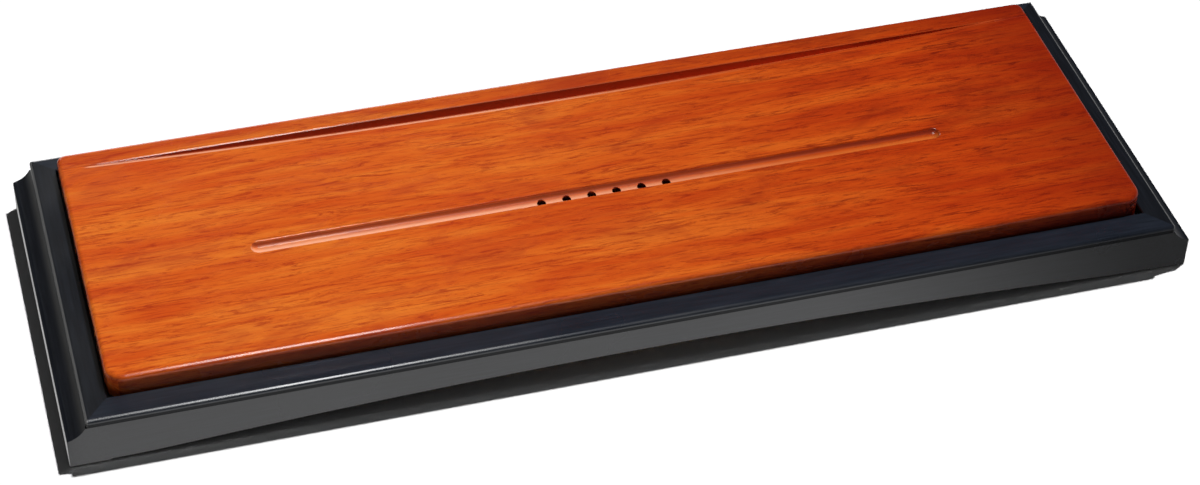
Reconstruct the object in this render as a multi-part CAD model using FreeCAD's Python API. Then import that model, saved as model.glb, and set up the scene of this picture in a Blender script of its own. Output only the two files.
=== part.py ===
import FreeCAD, Part
import math
import os

# Tea tray. Millimetres, +Z up, X along the tray, -Y is the front.
# Origin: centre of the footprint, on the surface that the tray stands on.

# Base outline
base_length = 750.0        # over the skirts of the two end rails
base_depth = 252.1         # front apron face to back apron face
base_height = 38.0         # standing surface to the flat of the ledge

# Ledge frame: four mitred rails with a bull nose
ledge_thickness = 5.7
ledge_overhang = 1.5       # nose beyond the apron faces
ledge_end_setback = 12.7   # nose inside the skirts of the end rails
front_ledge_width = 18.6
back_ledge_width = 14.2
end_ledge_width = 16.0
nose_radius = 2.5
nose_arris = 0.5           # under the nose
ledge_arris = 0.6          # soft inner top edge
ledge_corner = 2.5         # radius of the frame's outer corners, seen from above
spline_size = 8.0
spline_thickness = 1.5
spline_slack = 0.05

# End rails
end_rail_width = 26.0
skirt_height = 22.3        # standing surface to the top of the skirt
cove_sag = 1.9             # how far the cove is hollowed from its chord
skirt_arris = 1.2

# Aprons
apron_thickness = 13.0
arch_rise = 11.2
arch_margin = 4.0          # flat foot between the arch and the apron's end
arch_toe = 34.5            # length of the arch's end that runs out level
apron_arris = 0.8
quirk_height = 1.2         # shadow line under the nose of the long ledges
quirk_depth = 1.5

# Loose tenons between aprons and end rails
tenon_thickness = 4.0
tenon_length = 30.0
tenon_height = 20.0
tenon_from_face = 3.0      # from the apron's face
tenon_slack = 0.05
tenon_end_slack = 0.5

# Bottom board, held in a groove
bottom_thickness = 5.0
bottom_above_arch = 1.8
groove_depth = 5.0
groove_slack = 0.15

# Rubber pads let into the end rails
foot_diameter = 16.0
foot_proud = 1.0
foot_sink = 3.0
foot_slack = 0.05
foot_inset = 28.0          # from the apron face to the pad's centre

# Tea board
board_thickness = 19.0
board_proud = 13.5         # above the flat of the ledge
board_gap = 0.8            # between the board and the ledge frame
board_front_corner = 12.0
board_back_corner = 6.0
board_top_round = 3.5
board_under_chamfer = 1.0

# Drain groove and holes in the tea board
drain_margin = 108.5       # from the board's end to the groove's end
drain_width = 11.0
drain_depth = 4.0
drain_y = -10.8            # groove's centre line
drain_lip = 0.8
hole_count = 6
hole_diameter = 6.0
hole_pitch = 17.2

# Crescent hollow near the back edge of the tea board. Slopes are in degrees from level
crescent_margin = 22.5     # from the board's end to the hollow's tip
crescent_width = 9.0
crescent_from_back = 16.0  # straight edge of the hollow to the board's back edge
crescent_back_slope = 80.0
crescent_front_slope = 45.0
back_lip = 0.7
back_lip_slope = 32.0
front_lip = 1.9
front_lip_slope = 22.0

# Battens, each with a dovetail tongue in a slot that opens at the board's back edge
batten_width = 26.0
batten_thickness = 7.0
batten_from_end = 125.5    # from the board's end to the batten's middle
batten_clear = 21.0        # from a rest strip to the batten's end
batten_chamfer = 2.0
tongue_depth = 5.0
tongue_neck = 14.0
tongue_flare = 2.0         # how much wider the tongue is at its root, each side
tongue_slack = 0.05
tongue_from_back = 1.0

# Silicone pads under the tea board
pad_length = 30.0
pad_width = 6.0
pad_thickness = 1.0
pad_columns = 4
pad_from_end = 45.5        # from the board's end to the outer pads

# Strips that the tea board rests on
strip_width = 12.0

# Glue blocks under the bottom board
block_leg = 26.0
block_foot_gap = 1.6

# Catch pan and the cleats round it
pan_length = 300.0
pan_width = 128.0
pan_depth = 11.3
pan_sheet = 0.8
pan_taper = 5.0            # how far the floor is inside the rim, each side
pan_corner = 16.0
pan_flange = 5.0
tab_length = 44.0
tab_reach = 9.0
tab_corner = 7.2
cleat_width = 6.0
cleat_height = 4.0
cleat_gap = 0.8
side_cleat_length = 160.0
end_cleat_length = 65.0

# Places worked out from the sizes
half_length = base_length / 2
half_depth = base_depth / 2
wood_bottom = foot_proud
ledge_bottom = base_height - ledge_thickness
nose_x = half_length - ledge_end_setback
nose_y = half_depth + ledge_overhang
inner_x = nose_x - end_ledge_width
inner_y = {-1: nose_y - front_ledge_width, 1: nose_y - back_ledge_width}
board_x = inner_x - board_gap
board_y = {side: inner_y[side] - board_gap for side in (-1, 1)}
board_top = base_height + board_proud
board_bottom = board_top - board_thickness
strip_top = board_bottom - pad_thickness
rail_inner_x = half_length - end_rail_width
apron_inner_y = half_depth - apron_thickness
bottom_low = wood_bottom + arch_rise + bottom_above_arch
bottom_high = bottom_low + bottom_thickness
bottom_x = rail_inner_x + groove_depth
bottom_y = apron_inner_y + groove_depth
drain_half = board_x - drain_margin
crescent_half = board_x - crescent_margin
batten_x = board_x - batten_from_end
batten_y = apron_inner_y - strip_width - batten_clear
OVER = 1.0                 # how far a cutter stands clear of what it cuts
NEAR = 0.01                # how closely an edge's place is matched when it is picked


def vec(x, y, z):
    return FreeCAD.Vector(x, y, z)


def block(x0, x1, y0, y1, z0, z1):
    return Part.makeBox(x1 - x0, y1 - y0, z1 - z0, vec(x0, y0, z0))


def prism(points, along):
    wire = Part.makePolygon([vec(*p) for p in points + points[:1]])
    return Part.Face(wire).extrude(vec(*along))


def line(a, b):
    return Part.LineSegment(vec(*a), vec(*b)).toShape()


def arc(a, mid, b):
    return Part.Arc(vec(*a), vec(*mid), vec(*b)).toShape()


def solid_of(edges, along):
    return Part.Face(Part.Wire(edges)).extrude(vec(*along))


def turned(shape, degrees):
    """The shape turned about the Z axis through the origin."""
    copy = shape.copy()
    copy.rotate(vec(0, 0, 0), vec(0, 0, 1), degrees)
    return copy


def opposite(shape):
    return turned(shape, 180)


def mirrored(shape):
    """The same piece for the other end of the tray."""
    return shape.mirror(vec(0, 0, 0), vec(1, 0, 0))


def edges_where(shape, test):
    return [e for e in shape.Edges if test(e.BoundBox)]


def rounded_plate(half_x, half_y, corner, z0, z1, y_mid=0.0):
    plate = block(-half_x, half_x, y_mid - half_y, y_mid + half_y, z0, z1)
    upright = edges_where(plate, lambda b: b.ZLength > (z1 - z0) / 2)
    return plate.makeFillet(corner, upright)


def rounded_outline(half_x, half_y, corner, z, y_mid):
    plate = rounded_plate(half_x, half_y, corner, z, z + 1, y_mid)
    face = [f for f in plate.Faces if f.BoundBox.ZMax < z + 0.5][0]
    return face.OuterWire


def export(name, shape):
    if isinstance(shape, list):
        shape = Part.makeCompound(shape)
    shape.exportStep("parts/" + name + ".step")


# ---- tea board ----

def groove_cutter():
    """Round-bottomed channel with ball ends, wider than deep."""
    half = drain_width / 2
    radius = (half ** 2 + drain_depth ** 2) / (2 * drain_depth)
    axis_z = board_top - drain_depth + radius
    run = drain_half - half
    cutter = Part.makeCylinder(radius, 2 * run, vec(-run, drain_y, axis_z), vec(1, 0, 0))
    for x in (-run, run):
        cutter = cutter.fuse(Part.makeSphere(radius, vec(x, drain_y, axis_z)))
    return cutter


def hole_places():
    first = -(hole_count - 1) * hole_pitch / 2
    return [first + i * hole_pitch for i in range(hole_count)]


def crescent_cutter(back_spread, back_slope, front_spread, front_slope):
    """V-shaped hollow: a straight back wall meets a front wall that follows a long arc.

    Each spread widens the mouth on its side, and each slope is its wall's angle in degrees.
    """
    arc_radius = (crescent_half ** 2 + crescent_width ** 2) / (2 * crescent_width)
    back = board_y[1] - crescent_from_back
    centre_y = back - crescent_width + arc_radius
    deep = crescent_width
    front_grade = 1 / math.tan(math.radians(front_slope))
    mouth = arc_radius + front_spread
    front_cone = Part.makeCone(mouth - deep * front_grade, mouth + OVER * front_grade, deep + OVER,
                               vec(0, centre_y, board_top - deep), vec(0, 0, 1))
    back_grade = 1 / math.tan(math.radians(back_slope))
    edge = back + back_spread
    low_edge = edge - deep * back_grade
    front = back - 2 * crescent_width
    wedge = prism([(-board_x, low_edge, board_top - deep), (-board_x, front, board_top - deep),
                   (-board_x, front, board_top + OVER),
                   (-board_x, edge + OVER * back_grade, board_top + OVER)],
                  (2 * board_x, 0, 0))
    return wedge.common(front_cone)


def tea_board():
    board = block(-board_x, board_x, -board_y[-1], board_y[1], board_bottom, board_top)
    for side, corner in ((-1, board_front_corner), (1, board_back_corner)):
        upright = edges_where(board, lambda b: b.ZLength > board_thickness / 2
                              and side * b.Center.y > board_y[side] - NEAR)
        board = board.makeFillet(corner, upright)
    rim = edges_where(board, lambda b: b.ZMin > board_top - NEAR)
    board = board.makeFillet(board_top_round, rim)
    under = edges_where(board, lambda b: b.ZMax < board_bottom + NEAR)
    board = board.makeChamfer(board_under_chamfer, under)
    board = board.cut(groove_cutter())
    lip = edges_where(board, lambda b: b.ZMin > board_top - NEAR and abs(b.YMax - drain_y) < drain_width
                      and abs(b.YMin - drain_y) < drain_width)
    board = board.makeFillet(drain_lip, lip)
    for x in hole_places():
        drill = Part.makeCylinder(hole_diameter / 2, board_thickness + 2 * OVER,
                                  vec(x, drain_y, board_bottom - OVER))
        board = board.cut(drill)
    board = board.cut(crescent_cutter(0.0, crescent_back_slope, 0.0, crescent_front_slope))
    board = board.cut(crescent_cutter(back_lip, back_lip_slope, front_lip, front_lip_slope))
    for side in (-1, 1):
        board = board.cut(tongue(side, tongue_slack, 2 * board_y[1]))
    return board


def tongue(side, slack, run):
    """Dovetail that widens upwards, from the batten's front end backwards by run."""
    neck = tongue_neck / 2 + slack
    root = neck + tongue_flare
    y = -batten_y - slack
    x = side * batten_x
    top = board_bottom + tongue_depth + slack
    return prism([(x - neck, y, board_bottom), (x - root, y, top),
                  (x + root, y, top), (x + neck, y, board_bottom)], (0, run, 0))


def batten(side):
    x0 = side * batten_x - batten_width / 2
    bar = block(x0, x0 + batten_width, -batten_y, batten_y, board_bottom - batten_thickness, board_bottom)
    low = edges_where(bar, lambda b: b.ZMax < board_bottom - batten_thickness / 2)
    bar = bar.makeChamfer(batten_chamfer, low)
    return bar.fuse(tongue(side, 0.0, board_y[1] - tongue_from_back + batten_y))


def board_pads():
    reach = board_x - pad_from_end
    pitch = 2 * reach / (pad_columns - 1)
    pads = []
    for side in (-1, 1):
        y = side * (apron_inner_y - strip_width + board_y[side]) / 2
        for i in range(pad_columns):
            x = -reach + i * pitch
            pads.append(block(x - pad_length / 2, x + pad_length / 2, y - pad_width / 2, y + pad_width / 2,
                              strip_top, board_bottom))
    return pads


# ---- ledge frame ----

def ledge_section(outer, inner):
    """Edges of a rail's section in the YZ plane, with its nose towards -Y."""
    nose = nose_radius
    mid = nose * (1 - math.cos(math.radians(45)))
    top = base_height
    low = ledge_bottom
    return [line((0, -outer, low + nose_arris), (0, -outer, top - nose)),
            arc((0, -outer, top - nose), (0, -outer + mid, top - mid), (0, -outer + nose, top)),
            line((0, -outer + nose, top), (0, -inner - ledge_arris, top)),
            line((0, -inner - ledge_arris, top), (0, -inner, top - ledge_arris)),
            line((0, -inner, top - ledge_arris), (0, -inner, low)),
            line((0, -inner, low), (0, -outer + nose_arris, low)),
            line((0, -outer + nose_arris, low), (0, -outer, low + nose_arris))]


def ledge_bar(outer, inner, half_run):
    """Bar along X with its nose towards -Y, before its mitres are cut."""
    bar = solid_of(ledge_section(outer, inner), (2 * half_run, 0, 0))
    bar.translate(vec(-half_run, 0, 0))
    return bar


def mitred(bar, corners):
    """Cuts a bar to the plan shape between two mitres, and rounds the frame's corners."""
    low = ledge_bottom - OVER
    high = base_height + OVER
    plan = prism([(x, y, low) for x, y in corners], (0, 0, high - low))
    rail = bar.common(plan).common(rounded_plate(nose_x, nose_y, ledge_corner, low, high))
    for x_side in (-1, 1):
        for y_side in (-1, 1):
            rail = rail.cut(spline(x_side, y_side, spline_slack))
    return rail


def spline(x_side, y_side, slack):
    """Square loose tongue set across a mitre, half in each rail."""
    half = spline_size / 2 + slack
    thick = spline_thickness / 2 + slack
    width = nose_y - inner_y[y_side]
    key = block(-half, half, -half, half, -thick, thick)
    key = turned(key, math.degrees(math.atan2(y_side * width, x_side * end_ledge_width)))
    key.translate(vec(x_side * (nose_x - end_ledge_width / 2), y_side * (nose_y - width / 2),
                      ledge_bottom + ledge_thickness / 2))
    return key


def front_ledge():
    return mitred(ledge_bar(nose_y, inner_y[-1], nose_x),
                  [(-nose_x, -nose_y), (nose_x, -nose_y), (inner_x, -inner_y[-1]), (-inner_x, -inner_y[-1])])


def back_ledge():
    return mitred(opposite(ledge_bar(nose_y, inner_y[1], nose_x)),
                  [(-nose_x, nose_y), (nose_x, nose_y), (inner_x, inner_y[1]), (-inner_x, inner_y[1])])


def left_ledge():
    return mitred(turned(ledge_bar(nose_x, inner_x, nose_y), -90),
                  [(-nose_x, -nose_y), (-inner_x, -inner_y[-1]), (-inner_x, inner_y[1]), (-nose_x, nose_y)])


# ---- base ----

def bottom_board(slack=0.0):
    return block(-bottom_x + groove_slack - slack, bottom_x - groove_slack + slack,
                 -bottom_y + groove_slack - slack, bottom_y - groove_slack + slack,
                 bottom_low, bottom_high)


def tenon(x_side, y_side, slack, end_slack):
    half = tenon_length / 2 + end_slack
    rise = tenon_height / 2 + slack
    x = x_side * rail_inner_x
    mid_z = (wood_bottom + ledge_bottom) / 2
    near = half_depth - tenon_from_face + slack
    ends = sorted((y_side * near, y_side * (near - tenon_thickness - 2 * slack)))
    return block(x - half, x + half, ends[0], ends[1], mid_z - rise, mid_z + rise)


def all_tenons(slack, end_slack):
    return [tenon(x, y, slack, end_slack) for x in (-1, 1) for y in (-1, 1)]


def foot_place(x_side, y_side):
    return vec(x_side * (rail_inner_x + end_rail_width / 2), y_side * (half_depth - foot_inset), 0)


def foot_pads():
    pads = []
    for x_side in (-1, 1):
        for y_side in (-1, 1):
            pads.append(Part.makeCylinder(foot_diameter / 2, foot_proud + foot_sink,
                                          foot_place(x_side, y_side)))
    return pads


def foot_sockets():
    sockets = []
    for x_side in (-1, 1):
        for y_side in (-1, 1):
            sockets.append(Part.makeCylinder(foot_diameter / 2 + foot_slack, wood_bottom + foot_sink,
                                             foot_place(x_side, y_side)))
    return sockets


def quirk():
    """Cutter along the top of the front face."""
    return block(-half_length - OVER, half_length + OVER, -half_depth - OVER, -half_depth + quirk_depth,
                 ledge_bottom - quirk_height, ledge_bottom + OVER)


def end_rail():
    """Left rail: flat skirt, then a cove that runs up to the ledge's nose."""
    run = half_length - nose_x
    rise = ledge_bottom - skirt_height
    chord = math.hypot(run, rise)
    mid_x = nose_x + run / 2 - cove_sag * rise / chord
    mid_z = skirt_height + rise / 2 - cove_sag * run / chord
    edges = [line((-rail_inner_x, 0, wood_bottom), (-half_length, 0, wood_bottom)),
             line((-half_length, 0, wood_bottom), (-half_length, 0, skirt_height)),
             arc((-half_length, 0, skirt_height), (-mid_x, 0, mid_z), (-nose_x, 0, ledge_bottom)),
             line((-nose_x, 0, ledge_bottom), (-rail_inner_x, 0, ledge_bottom)),
             line((-rail_inner_x, 0, ledge_bottom), (-rail_inner_x, 0, wood_bottom))]
    rail = solid_of(edges, (0, base_depth, 0))
    rail.translate(vec(0, -half_depth, 0))
    arris = edges_where(rail, lambda b: b.XMax < -half_length + NEAR and b.ZMax > wood_bottom + NEAR)
    rail = rail.makeFillet(skirt_arris, arris)
    rail = rail.cut(quirk()).cut(opposite(quirk()))
    rail = rail.cut(bottom_board(groove_slack))
    for peg in all_tenons(tenon_slack, tenon_end_slack) + foot_sockets():
        rail = rail.cut(peg)
    return rail


def arch_edges(half, low, y):
    """Underside of an apron from left to right: foot, long arch, foot."""
    span = half - arch_margin
    turn_x = span - arch_toe
    turn_z = low + arch_rise * arch_toe / span

    def hollow(x):
        """Height of the long middle arc."""
        sag = low + arch_rise - turn_z
        radius = (turn_x ** 2 + sag ** 2) / (2 * sag)
        return low + arch_rise - radius + math.sqrt(radius ** 2 - x ** 2)

    def toe(x):
        """Height of the short arc that runs out level at the foot."""
        rise = turn_z - low
        radius = (arch_toe ** 2 + rise ** 2) / (2 * rise)
        return low + radius - math.sqrt(radius ** 2 - (span - x) ** 2)

    toe_x = (turn_x + span) / 2
    return [line((-half, y, low), (-span, y, low)),
            arc((-span, y, low), (-toe_x, y, toe(toe_x)), (-turn_x, y, turn_z)),
            arc((-turn_x, y, turn_z), (0, y, hollow(0)), (turn_x, y, turn_z)),
            arc((turn_x, y, turn_z), (toe_x, y, toe(toe_x)), (span, y, low)),
            line((span, y, low), (half, y, low))]


def apron():
    """Front apron."""
    half = rail_inner_x
    edges = arch_edges(half, wood_bottom, -half_depth)
    edges += [line((half, -half_depth, wood_bottom), (half, -half_depth, ledge_bottom)),
              line((half, -half_depth, ledge_bottom), (-half, -half_depth, ledge_bottom)),
              line((-half, -half_depth, ledge_bottom), (-half, -half_depth, wood_bottom))]
    board = solid_of(edges, (0, apron_thickness, 0))
    low_front = edges_where(board, lambda b: b.YMax < -half_depth + NEAR and b.XLength > 1
                            and b.ZMax < wood_bottom + arch_rise + NEAR)
    board = board.makeChamfer(apron_arris, low_front)
    board = board.cut(quirk())
    board = board.cut(bottom_board(groove_slack))
    for peg in all_tenons(tenon_slack, tenon_end_slack):
        board = board.cut(peg)
    return board


def long_strip():
    """Front rest strip."""
    return block(-rail_inner_x, rail_inner_x, -apron_inner_y, -apron_inner_y + strip_width,
                 bottom_high, strip_top)


def end_strip():
    """Left rest strip, between the two long ones."""
    half = apron_inner_y - strip_width
    return block(-rail_inner_x, -rail_inner_x + strip_width, -half, half, bottom_high, strip_top)


def corner_block(x_side, y_side):
    x = x_side * rail_inner_x
    y = y_side * apron_inner_y
    low = wood_bottom + block_foot_gap
    return prism([(x, y, low), (x - x_side * block_leg, y, low), (x, y - y_side * block_leg, low)],
                 (0, 0, bottom_low - low))


# ---- catch pan ----

def pan_body(inset, floor):
    """Tapered tub; inset is how far its wall stands inside the pan's outer wall."""
    low = rounded_outline(pan_length / 2 - pan_taper - inset, pan_width / 2 - pan_taper - inset,
                          pan_corner - pan_taper, floor, drain_y)
    high = rounded_outline(pan_length / 2 - inset, pan_width / 2 - inset,
                           pan_corner, bottom_high + pan_depth, drain_y)
    return Part.makeLoft([low, high], True, True)


def catch_pan():
    rim = bottom_high + pan_depth
    tub = pan_body(0.0, bottom_high)
    hollow = pan_body(pan_sheet, bottom_high + pan_sheet)
    flange = rounded_plate(pan_length / 2 + pan_flange, pan_width / 2 + pan_flange,
                           pan_corner + pan_flange, rim - pan_sheet, rim, drain_y)
    reach = pan_length / 2 + pan_flange + tab_reach
    tabs = rounded_plate(reach, tab_length / 2, tab_corner, rim - pan_sheet, rim, drain_y)
    return tub.fuse([flange, tabs]).removeSplitter().cut(hollow)


def side_cleat(y_side):
    """Cleat along the front or the back of the pan's floor."""
    run = side_cleat_length / 2
    near = pan_width / 2 - pan_taper + cleat_gap + cleat_height * pan_taper / pan_depth
    ends = sorted((drain_y + y_side * near, drain_y + y_side * (near + cleat_width)))
    return block(-run, run, ends[0], ends[1], bottom_high, bottom_high + cleat_height)


def end_cleat(x_side):
    """Cleat along the left or the right of the pan's floor."""
    run = end_cleat_length / 2
    near = pan_length / 2 - pan_taper + cleat_gap + cleat_height * pan_taper / pan_depth
    ends = sorted((x_side * near, x_side * (near + cleat_width)))
    return block(ends[0], ends[1], drain_y - run, drain_y + run, bottom_high, bottom_high + cleat_height)


def build():
    os.makedirs("parts", exist_ok=True)
    export("tea_board", tea_board())
    export("batten_left", batten(-1))
    export("batten_right", batten(1))
    export("board_pads", board_pads())
    export("front_ledge", front_ledge())
    export("back_ledge", back_ledge())
    export("left_ledge", left_ledge())
    export("right_ledge", mirrored(left_ledge()))
    export("mitre_splines", [spline(x, y, 0.0) for x in (-1, 1) for y in (-1, 1)])
    export("front_apron", apron())
    export("back_apron", opposite(apron()))
    export("left_end_rail", end_rail())
    export("right_end_rail", opposite(end_rail()))
    export("apron_tenons", all_tenons(0.0, 0.0))
    export("bottom_board", bottom_board())
    export("foot_pads", foot_pads())
    export("front_rest_strip", long_strip())
    export("back_rest_strip", opposite(long_strip()))
    export("left_rest_strip", end_strip())
    export("right_rest_strip", opposite(end_strip()))
    for y_name, y_side in (("front", -1), ("back", 1)):
        for x_name, x_side in (("left", -1), ("right", 1)):
            export("corner_block_" + y_name + "_" + x_name, corner_block(x_side, y_side))
    export("pan_cleat_front", side_cleat(-1))
    export("pan_cleat_back", side_cleat(1))
    export("pan_cleat_left", end_cleat(-1))
    export("pan_cleat_right", end_cleat(1))
    export("catch_pan", catch_pan())


build()
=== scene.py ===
import math

import bpy
from mathutils import Matrix, Vector

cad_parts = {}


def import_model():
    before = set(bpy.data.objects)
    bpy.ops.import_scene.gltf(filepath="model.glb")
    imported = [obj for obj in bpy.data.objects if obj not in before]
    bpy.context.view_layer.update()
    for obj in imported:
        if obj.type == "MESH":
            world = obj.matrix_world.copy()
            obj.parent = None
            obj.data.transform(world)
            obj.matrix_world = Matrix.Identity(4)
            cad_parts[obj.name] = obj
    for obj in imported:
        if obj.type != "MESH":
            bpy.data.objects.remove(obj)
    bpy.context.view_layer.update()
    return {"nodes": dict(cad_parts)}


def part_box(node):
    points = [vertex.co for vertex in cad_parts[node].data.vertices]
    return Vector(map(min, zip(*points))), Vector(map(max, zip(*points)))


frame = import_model()

# Lengths are in metres and angles in degrees. A pair of places says where a change or a band starts
# and ends.

# Camera
CAMERA_PLACE = Vector((-0.43354, -1.41669, 1.31958))
CAMERA_AZIMUTH = 17.07               # from +Y towards +X
CAMERA_ELEVATION = 41.82             # how far it looks down
CAMERA_ROLL = 1.757
CAMERA_LENS = 87.98                  # millimetres, on a 36 mm wide sensor

# Light
KEY_FROM = Vector((0.36, 0.20, 1.0))
KEY_STRENGTH = 3.0
KEY_ANGLE = 2.5
AMBIENT = 0.03
BACKDROP = 1.0                       # the world's paleness to the camera
FLOOR_SIZE = 12.0
FLOOR_SEEN = 1.15                    # the floor's paleness to the camera
FLOOR_PAINT = 0.80                   # and to the light that bounces off it

# What first reflections show: two cards, the floor, the walls and the ceiling
CARDS = {
    "front_card": {"stands": Vector((-0.145, -0.323, 0.769)), "aims": Vector((-0.145, -0.11, 0.05)),
                   "size": (0.20, 0.55), "power": 7.4},
    "rear_card": {"stands": Vector((-0.20, 1.00, 0.28)), "aims": Vector((-0.20, 0.0, 0.05)),
                  "size": (0.80, 0.36), "power": 2.3},
}
FLOOR_MIRRORED = (1.2, 0.25)         # beside the tray's long faces, and beyond its ends
FLOOR_DIMS_RIGHT = (0.10, 0.38)      # along X
FLOOR_DIMS_LEFT = (-0.36, -0.42)
WALLS = 0.35
CEILING = 0.12
WALLS_TO_CEILING = (0.10, 0.32)      # height of a direction, where straight up is 1
ONE_BOUNCE = 1.5                     # ray depths below this are first reflections

# The tea board
BOARD_LOW, BOARD_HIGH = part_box("tea_board")
BOARD_TOP = BOARD_HIGH.z
BOARD_HALF = (BOARD_HIGH - BOARD_LOW) / 2
BOARD_MIDDLE = (BOARD_HIGH + BOARD_LOW) / 2
BOARD_PAINTED_FALLOFF = (-0.15, 0.30)        # along X, from lit reds to shaded reds, a painted falloff of light
BOARD_END_PAINTED_FALLOFF = (0.22, 0.37)
BACK_DARKENS = (0.095, 0.104)        # along Y, by the back edge
SIDE_BAND = (-0.0012, -0.0008)       # out from the board's outline
SIDE_DARKENS = (0.0029, 0.0049)      # below the board's top
ABOVE_UNDERSIDE = (0.0155, 0.0145)   # below the board's top, so that the underside stays plain

# Its drain groove and holes. Places across the groove are from its centre line
GROOVE_Y = -0.0108
GROOVE_HALF = BOARD_HIGH.x - 0.1085
GROOVE_SPILLS = 0.003                # how far its painted highlight and shade go past each end
GROOVE_ACROSS = (-0.0062, 0.0050)
GROOVE_STARTS = (0.0002, 0.0004)     # below the board's top
GROOVE_STOPS = (0.0060, 0.0055)
GROOVE_HIGHLIGHT_RISES = (-0.0060, -0.0048)
GROOVE_HIGHLIGHT_FADES = (-0.0006, 0.0030)
GROOVE_SHADE_RISES = (0.0018, 0.0042)
GROOVE_HIGHLIGHT_REDDENS = (-0.10, 0.18)         # along X, from its palest painted highlight to its reddest
HOLE_COUNT = 6
HOLE_PITCH = 0.0172
HOLE_EDGE = (0.0034, 0.0031)         # from a hole's centre line
HOLE_STARTS = (0.0041, 0.0045)       # below the board's top

# Its crescent hollow: a straight back edge, and a front edge that is an arc.
# Places across the crescent are from that arc, and positive in front of it
CRESCENT_BACK = BOARD_HIGH.y - 0.016
CRESCENT_WIDTH = 0.009
CRESCENT_HALF = BOARD_HIGH.x - 0.0225
CRESCENT_RADIUS = (CRESCENT_HALF ** 2 + CRESCENT_WIDTH ** 2) / (2 * CRESCENT_WIDTH)
CRESCENT_CENTRE = CRESCENT_BACK - CRESCENT_WIDTH + CRESCENT_RADIUS
CRESCENT_FORE = 0.080                # in front of the whole hollow
CRESCENT_SPILLS = (0.004, 0.0004)    # how far its painted highlight and shade go past each tip, and past its back edge
LIP_HIGHLIGHT_ACROSS = (0.0004, 0.0025)
LIP_HIGHLIGHT_FADES = (-0.02, 0.20)          # along X
HOLLOW_STARTS = (0.0, -0.0003)
DARK_TIP_STARTS = (0.0014, 0.0010)
DARK_TIP = (0.215, 0.306)            # along X
DARK_TIP_SHARE = 0.80
BEYOND_TIPS = (0.318, 0.322)         # along X, to either side
BEYOND_TIPS_BACK = 0.100             # along Y
SHALLOW = (0.00004, 0.0035)          # below the board's top

# The ledges' nose
NOSE_OUT = -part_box("left_ledge")[0].x
LEDGE_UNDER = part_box("left_ledge")[0].z
NOSE_HIGHLIGHT_BAND = (NOSE_OUT - 0.0017, NOSE_OUT - 0.0011)
NOSE_SHINES = (LEDGE_UNDER + 0.0027, LEDGE_UNDER + 0.0034)

# The line where an end rail's skirt meets its hollow moulding
SKIRT_LINE = (0.0208, 0.0230)        # heights
SKIRT_LINE_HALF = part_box("left_end_rail")[1].y - 0.00055   # just short of the rail's ends
SKIRT_LINE_DIMS = 0.50               # taken off the black lacquer's specular level


# ---- colours ----

def linear(red, green, blue):
    """A colour written in 0 to 255 display values, as linear light."""
    def channel(value):
        value /= 255
        return value / 12.92 if value <= 0.04045 else ((value + 0.055) / 1.055) ** 2.4
    return (channel(red), channel(green), channel(blue), 1.0)


def grey(level):
    return (level, level, level, 1.0)


# Ramps: places on a noise's scale, with their colours
# The first two ramps are one red stain, lit and shaded, for a painted falloff of light to the right.
PAINTED_LIT_REDS = ((0.36, linear(220, 86, 24)), (0.52, linear(233, 108, 32)), (0.66, linear(243, 128, 42)))
PAINTED_SHADED_REDS = ((0.36, linear(186, 54, 10)), (0.52, linear(204, 70, 14)), (0.66, linear(216, 86, 20)))
BLACKS = ((0.35, linear(17, 19, 24)), (0.70, linear(28, 31, 38)))
# Black lacquer with a painted bluish sheen of reflections, for the long ledges, so paler than the
# others.
LONG_LEDGE_SHEEN_BLACKS = ((0.35, linear(24, 29, 38)), (0.70, linear(38, 43, 54)))
STEELS = ((0.3, grey(0.52)), (0.7, grey(0.62)))

# Pairs: towards the board's left, and towards its right. The first pair darkens to the right with the
# painted falloff of light, the second is a painted highlight, and the last two are painted shade.
GRAIN_DARKS = (linear(172, 46, 18), linear(116, 22, 8))
PAINTED_HIGHLIGHT_PINKS = (linear(255, 182, 144), linear(212, 106, 42))
GROOVE_PAINTED_SHADE = (linear(170, 72, 28), linear(146, 42, 10))
HOLLOW_PAINTED_SHADE = (linear(190, 86, 48), linear(208, 86, 40))

# Painted shade at the board's right end, where the painted falloff of light goes on
BOARD_END_PAINTED_SHADE = linear(134, 24, 6)
# Painted shade in the crescent's right tip
DARK_TIP_PAINTED_SHADE = linear(176, 60, 20)
# Painted shade in the drain holes' bores
BORE_PAINTED_SHADE = linear(84, 36, 20)
# Painted shade on the board's side
BOARD_SIDE_PAINTED_SHADE = linear(70, 24, 14)
# A painted highlight along the ends of the ledges' nose
NOSE_HIGHLIGHT_GREY = grey(0.15)
# Painted shade under the ledges' nose
UNDER_NOSE_PAINTED_SHADE = grey(0.003)
BLACK_SHINE = 0.7                    # the black lacquer's specular level

# Pairs: light, and dark
HARDWOOD = (linear(196, 152, 104), linear(150, 106, 66))
PLY = (linear(202, 164, 118), linear(170, 128, 84))
SILICONE = (grey(0.62), grey(0.50))
FOOT_RUBBER = (grey(0.030), grey(0.018))


# ---- node helpers ----

def new_tree(name):
    material = bpy.data.materials.new(name)
    material.use_nodes = True
    return material, material.node_tree


def node(tree, kind, inputs=None, **settings):
    made = tree.nodes.new(kind)
    for key, value in settings.items():
        setattr(made, key, value)
    fill(tree, made, inputs or {})
    return made


def fill(tree, made, inputs):
    """Links sockets, and sets plain values, on a node's inputs."""
    for key, value in inputs.items():
        if isinstance(value, bpy.types.NodeSocket):
            tree.links.new(value, made.inputs[key])
        else:
            made.inputs[key].default_value = value


def finish(tree, inputs):
    """Fills the material's surface."""
    fill(tree, tree.nodes["Principled BSDF"], inputs)


def maths(tree, operation, first, second=0.0, third=0.0):
    made = node(tree, "ShaderNodeMath", {0: first, 1: second, 2: third}, operation=operation)
    return made.outputs[0]


def vectors(tree, operation, first, second, output=0):
    made = node(tree, "ShaderNodeVectorMath", {0: first, 1: second}, operation=operation)
    return made.outputs[output]


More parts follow.
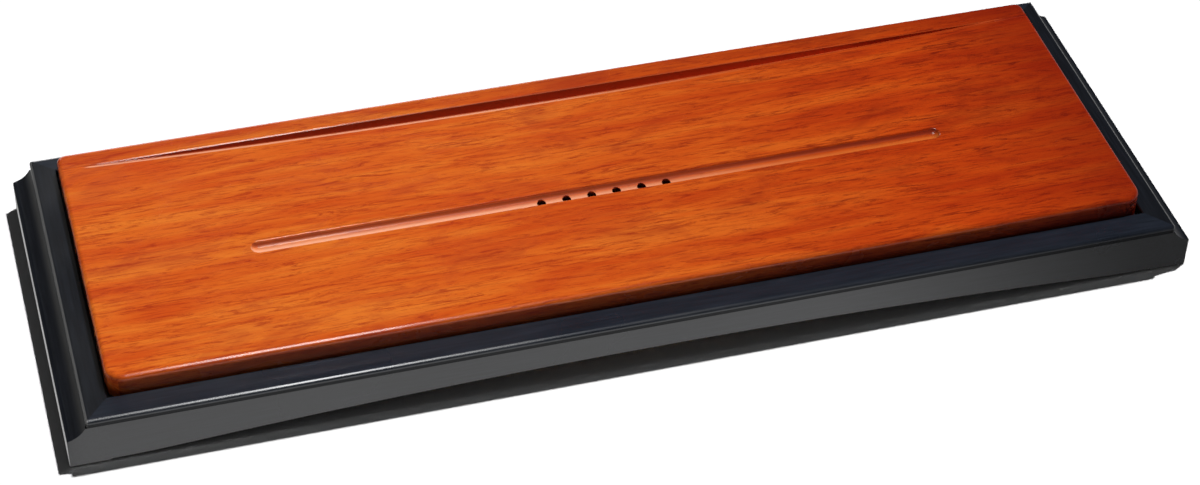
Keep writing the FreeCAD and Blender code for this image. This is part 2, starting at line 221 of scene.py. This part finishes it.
def both(tree, first, *others):
    """The product of several shares, which is 1 only where each of them is 1."""
    for other in others:
        first = maths(tree, "MULTIPLY", first, other)
    return first


def blend(tree, share, first, second):
    made = node(tree, "ShaderNodeMix", data_type="RGBA", blend_type="MIX")
    fill(tree, made, {0: share, 6: first, 7: second})
    return made.outputs[2]


def ramp(tree, value, stops):
    made = node(tree, "ShaderNodeValToRGB", {"Fac": value})
    elements = made.color_ramp.elements
    while len(elements) < len(stops):
        elements.new(1.0)
    for element, (position, colour) in zip(elements, stops):
        element.position = position
        element.color = colour
    return made.outputs["Color"]


def spread(tree, value, low, high, to_low=0.0, to_high=1.0):
    """Goes smoothly from one level to another as the value goes from low to high."""
    made = node(tree, "ShaderNodeMapRange", {0: value, 1: low, 2: high, 3: to_low, 4: to_high})
    made.interpolation_type = "SMOOTHSTEP"
    return made.outputs[0]


def between(tree, value, low, high, soft):
    """1 where the value lies between two levels, fading over soft on each side."""
    return both(tree, spread(tree, value, low - soft, low + soft),
                spread(tree, value, high + soft, high - soft))


def place(tree):
    return node(tree, "ShaderNodeTexCoord").outputs["Object"]


def parts_of(tree, vector):
    split = node(tree, "ShaderNodeSeparateXYZ", {0: vector})
    return [split.outputs[name] for name in "XYZ"]


def together(tree, parts):
    """A vector from the parts that are named. The others are 0."""
    return node(tree, "ShaderNodeCombineXYZ", parts).outputs[0]


def noise(tree, vector, per_metre, detail, roughness=0.5, distortion=0.0):
    """Noise whose grains are 1 / per_metre long along X, Y and Z."""
    made = node(tree, "ShaderNodeTexNoise",
                {"Vector": vectors(tree, "MULTIPLY", vector, per_metre), "Scale": 1.0, "Detail": detail,
                 "Roughness": roughness, "Distortion": distortion})
    return made.outputs["Fac"]


def along(axis, lengthwise, across):
    """Per-metre counts for grain that runs along an axis."""
    return tuple(lengthwise if name == axis else across for name in "XYZ")


def even(count):
    """Per-metre counts for marks that run no way."""
    return (count, count, count)


def wavy(tree, vector, axis, amount):
    """The place, pushed about sideways so that straight grain wanders."""
    push = noise(tree, vector, along(axis, 3.0, 14.0), detail=2.0)
    offset = maths(tree, "MULTIPLY", maths(tree, "SUBTRACT", push, 0.5), 2 * amount)
    sideways = together(tree, {name: offset for name in "XYZ" if name != axis})
    return vectors(tree, "ADD", vector, sideways)


def bump(tree, height, strength, distance):
    return node(tree, "ShaderNodeBump", {"Height": height, "Strength": strength,
                                         "Distance": distance}).outputs["Normal"]


# ---- red board ----

def red_grain(tree, x, y, blotches, streaks, grain):
    """Stained wood, with dark marks in it. It deepens to the right, a painted falloff of light, and
    darkens by the back edge.
    """
    bands = noise(tree, grain, along("X", 7.0, 55.0), detail=4.0, roughness=0.6, distortion=0.6)
    fibres = noise(tree, grain, along("X", 50.0, 800.0), detail=4.0, roughness=0.7, distortion=0.5)
    rightness = spread(tree, x, *BOARD_PAINTED_FALLOFF)
    colour = blend(tree, rightness, ramp(tree, bands, PAINTED_LIT_REDS), ramp(tree, bands, PAINTED_SHADED_REDS))
    colour = blend(tree, spread(tree, x, *BOARD_END_PAINTED_FALLOFF, to_high=0.75), colour, BOARD_END_PAINTED_SHADE)
    dark = blend(tree, rightness, *GRAIN_DARKS)
    for marks, start, full, strength in ((blotches, 0.50, 0.74, 0.40), (streaks, 0.48, 0.64, 0.80),
                                         (fibres, 0.50, 0.70, 0.45), (y, *BACK_DARKENS, 0.30)):
        colour = blend(tree, spread(tree, marks, start, full, to_high=strength), colour, dark)
    return colour


def drain_groove(tree, x, y, depth):
    """Shares of the board: where a highlight is painted on the groove's near side, and where shade is
    painted by its far lip.
    """
    across = maths(tree, "SUBTRACT", y, GROOVE_Y)
    end = GROOVE_HALF + GROOVE_SPILLS
    inside = both(tree, spread(tree, depth, *GROOVE_STARTS), spread(tree, depth, *GROOVE_STOPS),
                  between(tree, across, *GROOVE_ACROSS, soft=0.0003),
                  between(tree, x, -end, end, soft=0.001))
    groove_highlight = both(tree, inside, spread(tree, across, *GROOVE_HIGHLIGHT_RISES, to_low=0.35),
                spread(tree, across, *GROOVE_HIGHLIGHT_FADES, to_low=1.0, to_high=0.15))
    return groove_highlight, both(tree, inside, spread(tree, across, *GROOVE_SHADE_RISES))


def drain_holes(tree, x, y, depth):
    """The share of the board that is a hole's bore, where shade is painted."""
    from_middle = maths(tree, "SUBTRACT", maths(tree, "WRAP", x, HOLE_PITCH, 0.0), HOLE_PITCH / 2)
    flat = together(tree, {"X": from_middle, "Y": y})
    from_hole = vectors(tree, "DISTANCE", flat, (0.0, GROOVE_Y, 0.0), output="Value")
    end = HOLE_COUNT * HOLE_PITCH / 2
    return both(tree, spread(tree, depth, *HOLE_STARTS), spread(tree, from_hole, *HOLE_EDGE),
                between(tree, x, -end, end, soft=0.001))


def crescent(tree, x, y, depth):
    """Shares of the board: the front lip, where a highlight is painted, the hollow and its right tip,
    where shade is painted, and past its tips.
    """
    flat = together(tree, {"X": x, "Y": y})
    reach = vectors(tree, "DISTANCE", flat, (0.0, CRESCENT_CENTRE, 0.0), output="Value")
    across = maths(tree, "SUBTRACT", reach, CRESCENT_RADIUS)
    end = CRESCENT_HALF + CRESCENT_SPILLS[0]
    near = both(tree, between(tree, x, -end, end, soft=0.003),
                between(tree, y, CRESCENT_FORE, CRESCENT_BACK + CRESCENT_SPILLS[1], soft=0.0002),
                spread(tree, depth, *ABOVE_UNDERSIDE))
    lip = both(tree, near, between(tree, across, *LIP_HIGHLIGHT_ACROSS, soft=0.0002),
               spread(tree, x, *LIP_HIGHLIGHT_FADES, to_low=0.8, to_high=0.1))
    hollow = both(tree, near, spread(tree, across, *HOLLOW_STARTS))
    dark_tip = both(tree, near, spread(tree, across, *DARK_TIP_STARTS),
                    between(tree, x, *DARK_TIP, soft=0.015), DARK_TIP_SHARE)
    beyond = both(tree, spread(tree, maths(tree, "ABSOLUTE", x), *BEYOND_TIPS),
                  between(tree, depth, *SHALLOW, soft=0.00001),
                  between(tree, y, CRESCENT_FORE, BEYOND_TIPS_BACK, soft=0.001))
    return lip, hollow, dark_tip, beyond


def board_side(tree, x, y, depth):
    """The share of the board that is its side, below the rounding, where shade is painted."""
    outward = []
    for value, middle, half in zip((x, y), BOARD_MIDDLE, BOARD_HALF):
        from_middle = maths(tree, "ABSOLUTE", maths(tree, "SUBTRACT", value, middle))
        outward.append(maths(tree, "SUBTRACT", from_middle, half))
    return both(tree, spread(tree, depth, *SIDE_DARKENS, to_high=0.50),
                spread(tree, maths(tree, "MAXIMUM", *outward), *SIDE_BAND))


def red_lacquered_wood():
    """Red stained grain, with painted light on it: a highlight in the groove and on the crescent's front
    lip, and shade by the groove's far lip, in the crescent, in the bores and on the board's side.
    """
    material, tree = new_tree("red_lacquered_wood")
    here = place(tree)
    x, y, z = parts_of(tree, here)
    depth = maths(tree, "SUBTRACT", BOARD_TOP, z)
    grain = wavy(tree, here, "X", 0.006)
    streaks = noise(tree, grain, along("X", 30.0, 300.0), detail=8.0, roughness=0.80, distortion=1.2)
    blotches = noise(tree, here, (18.0, 30.0, 30.0), detail=4.0, roughness=0.6, distortion=0.8)
    groove_highlight, groove_shade = drain_groove(tree, x, y, depth)
    lip, hollow, dark_tip, beyond_tips = crescent(tree, x, y, depth)
    rightness = spread(tree, x, *BOARD_PAINTED_FALLOFF)

    colour = red_grain(tree, x, y, blotches, streaks, grain)
    for share, paint_there in (
            (maths(tree, "MAXIMUM", groove_highlight, lip),
             blend(tree, spread(tree, x, *GROOVE_HIGHLIGHT_REDDENS), *PAINTED_HIGHLIGHT_PINKS)),
            (groove_shade, blend(tree, rightness, *GROOVE_PAINTED_SHADE)),
            (hollow, blend(tree, rightness, *HOLLOW_PAINTED_SHADE)),
            (dark_tip, DARK_TIP_PAINTED_SHADE),
            (drain_holes(tree, x, y, depth), BORE_PAINTED_SHADE),
            (board_side(tree, x, y, depth), BOARD_SIDE_PAINTED_SHADE)):
        colour = blend(tree, share, colour, paint_there)

    dull = maths(tree, "MAXIMUM", groove_shade, beyond_tips)
    roughness = spread(tree, blotches, 0.3, 0.7, to_low=0.22, to_high=0.30)
    finish(tree, {"Base Color": colour,
                  "Roughness": maths(tree, "MAXIMUM", roughness, dull),
                  "Specular IOR Level": 0.25,
                  "Coat Weight": maths(tree, "MULTIPLY", 0.30, maths(tree, "SUBTRACT", 1.0, dull)),
                  "Coat Roughness": 0.12,
                  "Normal": bump(tree, streaks, strength=0.08, distance=0.0004)})
    return material


# ---- other materials ----

def black_lacquered_wood(axis, ledge=False):
    """A ledge's nose has a painted highlight along the ends, and painted shade below, darker and duller.
    A skirt is duller along its top.
    """
    material, tree = new_tree("black_lacquered_" + ("ledge_" if ledge else "base_") + axis.lower())
    here = place(tree)
    x, y, z = parts_of(tree, here)
    streaks = noise(tree, wavy(tree, here, axis, 0.003), along(axis, 30.0, 600.0), detail=4.0,
                    roughness=0.6)
    clouds = noise(tree, here, even(14.0), detail=3.0)
    colour = ramp(tree, streaks, LONG_LEDGE_SHEEN_BLACKS if ledge and axis == "X" else BLACKS)
    specular = BLACK_SHINE
    if ledge:
        nose_highlight = spread(tree, maths(tree, "ABSOLUTE", x), *NOSE_HIGHLIGHT_BAND)
        shine = spread(tree, z, *NOSE_SHINES, to_low=0.22)
        colour = blend(tree, shine, UNDER_NOSE_PAINTED_SHADE, blend(tree, nose_highlight, colour, NOSE_HIGHLIGHT_GREY))
        specular = both(tree, shine, BLACK_SHINE)
    elif axis == "Y":
        line = both(tree, between(tree, z, *SKIRT_LINE, soft=0.0002),
                    between(tree, y, -SKIRT_LINE_HALF, SKIRT_LINE_HALF, soft=0.0005))
        specular = maths(tree, "SUBTRACT", BLACK_SHINE, both(tree, line, SKIRT_LINE_DIMS))
    finish(tree, {"Base Color": colour,
                  "Roughness": spread(tree, clouds, 0.3, 0.7, to_low=0.26, to_high=0.36),
                  "Specular IOR Level": specular,
                  "Normal": bump(tree, streaks, strength=0.10, distance=0.0003)})
    return material


def bare_wood(name, axis, light, dark, roughness):
    material, tree = new_tree(name + "_" + axis.lower())
    grain = wavy(tree, place(tree), axis, 0.004)
    bands = noise(tree, grain, along(axis, 8.0, 130.0), detail=4.0, roughness=0.55)
    pores = noise(tree, grain, along(axis, 70.0, 1500.0), detail=3.0, roughness=0.6)
    colour = ramp(tree, bands, ((0.30, dark), (0.70, light)))
    finish(tree, {"Base Color": blend(tree, spread(tree, pores, 0.55, 0.80, to_high=0.45), colour, dark),
                  "Roughness": roughness,
                  "Specular IOR Level": 0.35,
                  "Normal": bump(tree, pores, strength=0.25, distance=0.0004)})
    return material


def pan_steel():
    material, tree = new_tree("pan_steel")
    here = place(tree)
    brushed = noise(tree, here, along("X", 12.0, 2400.0), detail=3.0, roughness=0.6)
    smears = noise(tree, here, even(22.0), detail=3.0, roughness=0.55)
    finish(tree, {"Base Color": ramp(tree, smears, STEELS),
                  "Metallic": 1.0,
                  "Roughness": spread(tree, brushed, 0.3, 0.7, to_low=0.26, to_high=0.42),
                  "Normal": bump(tree, brushed, strength=0.12, distance=0.0002)})
    return material


def soft_pad(name, light, dark, roughness):
    material, tree = new_tree(name)
    specks = noise(tree, place(tree), even(900.0), detail=2.0)
    finish(tree, {"Base Color": ramp(tree, specks, ((0.3, dark), (0.7, light))),
                  "Roughness": roughness,
                  "Specular IOR Level": 0.35,
                  "Normal": bump(tree, specks, strength=0.2, distance=0.0001)})
    return material


def paint(node_name, material):
    for slot in frame["nodes"][node_name].material_slots:
        slot.material = material


def paint_all():
    hard = {axis: bare_wood("plain_hardwood", axis, *HARDWOOD, roughness=0.55) for axis in "XY"}
    black = {axis: black_lacquered_wood(axis) for axis in "XY"}
    ledge = {axis: black_lacquered_wood(axis, ledge=True) for axis in "XY"}
    paint("tea_board", red_lacquered_wood())
    for side, axis, rail in (("front", "X", "_apron"), ("back", "X", "_apron"),
                             ("left", "Y", "_end_rail"), ("right", "Y", "_end_rail")):
        paint(side + "_ledge", ledge[axis])
        paint(side + rail, black[axis])
        paint(side + "_rest_strip", black[axis])
        paint("pan_cleat_" + side, hard[axis])
    for side in ("left", "right"):
        paint("batten_" + side, hard["Y"])
        for end in ("front", "back"):
            paint("corner_block_" + end + "_" + side, hard["X"])
    for name in ("apron_tenons", "mitre_splines"):
        paint(name, hard["X"])
    paint("bottom_board", bare_wood("thin_ply", "X", *PLY, roughness=0.6))
    paint("catch_pan", pan_steel())
    paint("board_pads", soft_pad("silicone", *SILICONE, roughness=0.5))
    paint("foot_pads", soft_pad("foot_rubber", *FOOT_RUBBER, roughness=0.7))


# ---- stage ----

def rays(tree):
    """Two switches: rays from the camera or through glass, and rays in a first reflection."""
    path = node(tree, "ShaderNodeLightPath")
    seen = maths(tree, "MAXIMUM", path.outputs["Is Camera Ray"], path.outputs["Is Transmission Ray"])
    first = maths(tree, "LESS_THAN", path.outputs["Ray Depth"], ONE_BOUNCE)
    return seen, both(tree, path.outputs["Is Glossy Ray"], first)


def floor():
    half = FLOOR_SIZE / 2
    corners = [(-half, -half, 0), (half, -half, 0), (half, half, 0), (-half, half, 0)]
    mesh = bpy.data.meshes.new("floor")
    mesh.from_pydata(corners, [], [(0, 1, 2, 3)])
    piece = bpy.data.objects.new("floor", mesh)
    bpy.context.scene.collection.objects.link(piece)
    mesh.materials.append(pale_floor())


def pale_floor():
    material, tree = new_tree("pale_floor")
    tree.nodes.remove(tree.nodes["Principled BSDF"])
    seen, glossy = rays(tree)
    matt = node(tree, "ShaderNodeBsdfDiffuse",
                {"Color": blend(tree, seen, grey(FLOOR_PAINT), grey(FLOOR_SEEN))})
    x = parts_of(tree, place(tree))[0]
    beyond_ends = maths(tree, "MAXIMUM", spread(tree, x, *FLOOR_DIMS_RIGHT),
                        spread(tree, x, *FLOOR_DIMS_LEFT))
    mirrored = node(tree, "ShaderNodeEmission",
                    {"Color": blend(tree, beyond_ends, *(grey(level) for level in FLOOR_MIRRORED))})
    mixed = node(tree, "ShaderNodeMixShader", {0: glossy, 1: matt.outputs[0], 2: mirrored.outputs[0]})
    tree.links.new(mixed.outputs[0], tree.nodes["Material Output"].inputs["Surface"])
    return material


def world():
    made = bpy.data.worlds.new("studio")
    bpy.context.scene.world = made
    made.use_nodes = True
    tree = made.node_tree
    height = parts_of(tree, node(tree, "ShaderNodeTexCoord").outputs["Generated"])[2]
    mirrored = blend(tree, spread(tree, height, *WALLS_TO_CEILING), grey(WALLS), grey(CEILING))
    seen, glossy = rays(tree)
    colour = blend(tree, seen, grey(AMBIENT), grey(BACKDROP))
    colour = blend(tree, glossy, colour, mirrored)
    tree.links.new(colour, tree.nodes["Background"].inputs["Color"])


def lamp(name, kind, stands, aims, settings):
    data = bpy.data.lights.new(name, kind)
    for key, value in settings.items():
        setattr(data, key, value)
    piece = bpy.data.objects.new(name, data)
    piece.location = stands
    piece.rotation_euler = (aims - stands).to_track_quat("-Z", "Y").to_euler()
    bpy.context.scene.collection.objects.link(piece)
    return piece


def lamps():
    """A key light that no reflection shows, and two cards that only reflections show."""
    key = lamp("key", "SUN", KEY_FROM, Vector((0, 0, 0)),
               {"energy": KEY_STRENGTH, "angle": math.radians(KEY_ANGLE)})
    key.visible_glossy = False
    for name, card in CARDS.items():
        width, height = card["size"]
        piece = lamp(name, "AREA", card["stands"], card["aims"],
                     {"shape": "RECTANGLE", "size": width, "size_y": height, "energy": card["power"]})
        piece.visible_camera = False
        piece.visible_diffuse = False


def camera():
    data = bpy.data.cameras.new("camera")
    data.lens = CAMERA_LENS
    piece = bpy.data.objects.new("camera", data)
    bpy.context.scene.collection.objects.link(piece)
    down = math.radians(CAMERA_ELEVATION)
    turn = math.radians(CAMERA_AZIMUTH)
    ahead = Vector((math.cos(down) * math.sin(turn), math.cos(down) * math.cos(turn), -math.sin(down)))
    aim = ahead.to_track_quat("-Z", "Y").to_matrix().to_4x4()
    roll = Matrix.Rotation(math.radians(CAMERA_ROLL), 4, "Z")
    piece.matrix_world = Matrix.Translation(CAMERA_PLACE) @ aim @ roll
    bpy.context.scene.camera = piece


paint_all()
floor()
world()
lamps()
camera()
bpy.context.scene.view_settings.view_transform = "Standard"
